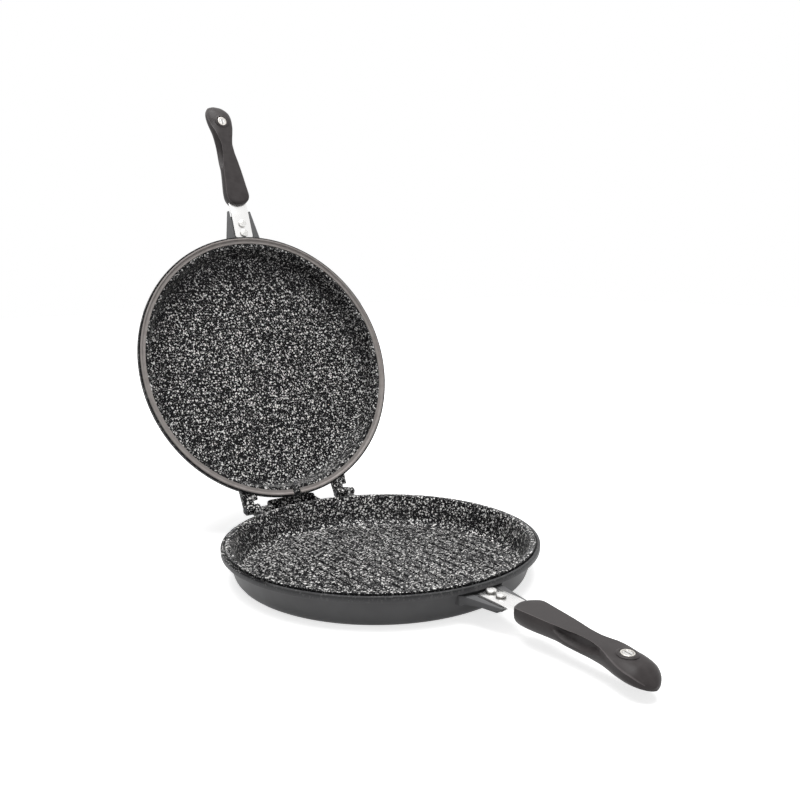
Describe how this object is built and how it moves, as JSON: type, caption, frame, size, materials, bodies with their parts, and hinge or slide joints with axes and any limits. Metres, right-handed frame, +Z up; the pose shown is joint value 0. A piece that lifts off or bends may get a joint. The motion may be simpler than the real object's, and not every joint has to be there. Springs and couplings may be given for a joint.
{
  "type": "hinged double frying pan",
  "caption": "Round double-sided frying pan standing open: shallow cast pans joined by barrel hinges, each with a riveted strap and a magnet-tipped half handle.",
  "frame": {"origin": "centre of the lower pan's flat base, on the surface it stands on", "axes": "+Z up; +X from the hinge towards the lower handle; the hinge axis runs along Y at the -X side"},
  "size_m": [0.6175, 0.28, 0.4412],
  "materials": {
    "coated_casting": "die cast, dark speckled non-stick coating",
    "bakelite": "moulded phenolic, matte",
    "steel": "polished stainless steel",
    "nickel": "nickel plated",
    "brass": "knurled",
    "silicone": "moulded silicone, matte"
  },
  "bodies": {
    "lower": {"lower_pan": "coated_casting", "lower_tang": "steel", "lower_rivet_inner": "steel", "lower_rivet_outer": "steel", "lower_handle": "bakelite", "lower_magnet": "nickel", "lower_magnet_screw": "steel", "lower_insert": "brass"},
    "upper": {"upper_pan": "coated_casting", "upper_tang": "steel", "upper_rivet_inner": "steel", "upper_rivet_outer": "steel", "upper_handle": "bakelite", "upper_magnet": "nickel", "upper_magnet_screw": "steel", "upper_insert": "brass", "gasket": "silicone", "hinge_pin_left": "steel", "hinge_pin_right": "steel"}
  },
  "joints": [
    {"name": "pan_hinge", "type": "hinge", "parent": "lower", "child": "upper", "pos_m": [-0.146, 0, 0.03], "axis": [0, 1, 0], "range_deg": [0, 110]}
  ]
}
